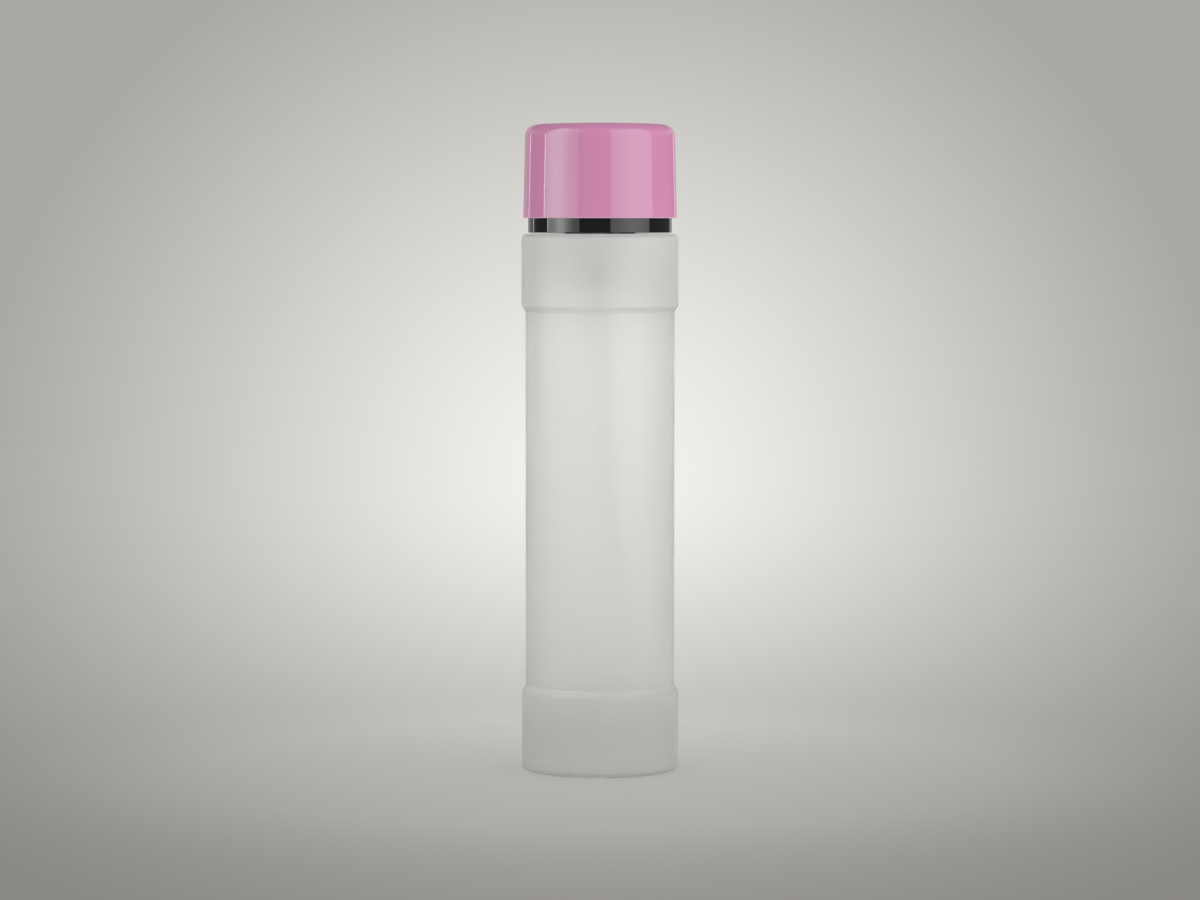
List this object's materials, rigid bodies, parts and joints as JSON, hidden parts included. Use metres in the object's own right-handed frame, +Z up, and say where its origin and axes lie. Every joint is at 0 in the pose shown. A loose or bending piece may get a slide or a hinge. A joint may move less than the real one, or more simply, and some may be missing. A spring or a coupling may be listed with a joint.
{
  "type": "spray bottle",
  "caption": "Slim round frosted plastic bottle with two raised bands, a fine-mist finger pump on a screw neck, a gloss black collar and a gloss pink lift-off overcap.",
  "frame": {"origin": "on the bottle's axis, at the level of the ring it stands on", "axes": "+Z up along the bottle's axis; the spray nozzle faces -Y"},
  "size_m": [0.05, 0.05, 0.2065],
  "materials": {
    "frosted_plastic": "frosted, translucent",
    "gloss_black": "high gloss",
    "gloss_pink": "gloss",
    "natural_plastic": "natural, milky",
    "white_plastic": "satin",
    "white_foam": "matte foam",
    "polished_steel": "polished",
    "clear_tube": "milky, translucent"
  },
  "bodies": {
    "bottle": {"bottle": "frosted_plastic"},
    "pump": {"pump_housing": "natural_plastic", "turret": "natural_plastic", "neck_gasket": "white_foam", "return_spring": "polished_steel", "dip_tube": "clear_tube"},
    "closure": {"screw_closure": "white_plastic", "collar": "gloss_black"},
    "overcap": {"overcap": "gloss_pink"},
    "stem": {"stem": "natural_plastic", "valve_rod": "white_plastic"},
    "piston": {"piston": "white_plastic"},
    "actuator": {"actuator_button": "white_plastic", "nozzle_insert": "white_plastic"},
    "inlet_ball": {"inlet_ball": "polished_steel"}
  },
  "joints": [
    {"name": "pump_lift", "type": "slide", "parent": "bottle", "child": "pump", "axis": [0, 0, 1], "range_m": [0, 0.00397]},
    {"name": "closure_turn", "type": "hinge", "parent": "pump", "child": "closure", "pos_m": [0, 0, 0.18], "axis": [0, 0, 1], "range_deg": [0, 450]},
    {"name": "cap_lift", "type": "slide", "parent": "closure", "child": "overcap", "axis": [0, 0, 1], "range_m": [0, 0.035]},
    {"name": "actuator_press", "type": "slide", "parent": "pump", "child": "stem", "axis": [0, 0, -1], "range_m": [0, 0.0042], "stiffness_N_per_m": 2000, "springref_m": -0.0025, "deforming": ["return_spring"]},
    {"name": "actuator_turn", "type": "hinge", "parent": "stem", "child": "actuator", "pos_m": [0, 0, 0.19], "axis": [0, 0, 1], "continuous": true},
    {"name": "piston_slip", "type": "slide", "parent": "stem", "child": "piston", "axis": [0, 0, 1], "range_m": [0, 0.0008]},
    {"name": "inlet_ball_lift", "type": "slide", "parent": "pump", "child": "inlet_ball", "axis": [0, 0, 1], "range_m": [0, 0.001]}
  ],
  "couplings": [
    {"joint": "closure_turn", "follows": "pump_lift", "rad_per_m": 1979}
  ]
}
